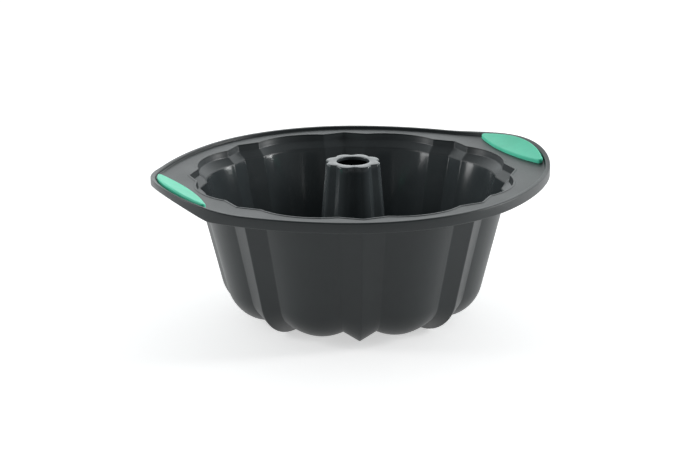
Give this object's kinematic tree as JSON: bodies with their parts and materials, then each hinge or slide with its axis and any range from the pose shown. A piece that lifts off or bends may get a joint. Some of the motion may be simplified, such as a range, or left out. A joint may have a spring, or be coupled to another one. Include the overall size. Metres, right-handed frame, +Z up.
{
  "type": "brioche mould",
  "caption": "Fluted ring baking mould of flexible silicone with a hollow central chimney, a flat rim with two raised ears, a hidden steel strip in the rim and a coloured grip pad on each ear.",
  "frame": {"origin": "centre of the resting plane under the eight ridges", "axes": "+Z up along the chimney, X along the line through the two ears and their grips"},
  "size_m": [0.2918, 0.263, 0.1102],
  "materials": {
    "silicone_charcoal": "satin outside, glossy inside",
    "steel_strip": "rolled strip, hidden",
    "silicone_mint": "satin"
  },
  "bodies": {
    "root": {"mould_body": "silicone_charcoal", "rim_frame": "steel_strip", "left_grip": "silicone_mint", "right_grip": "silicone_mint"}
  },
  "joints": []
}
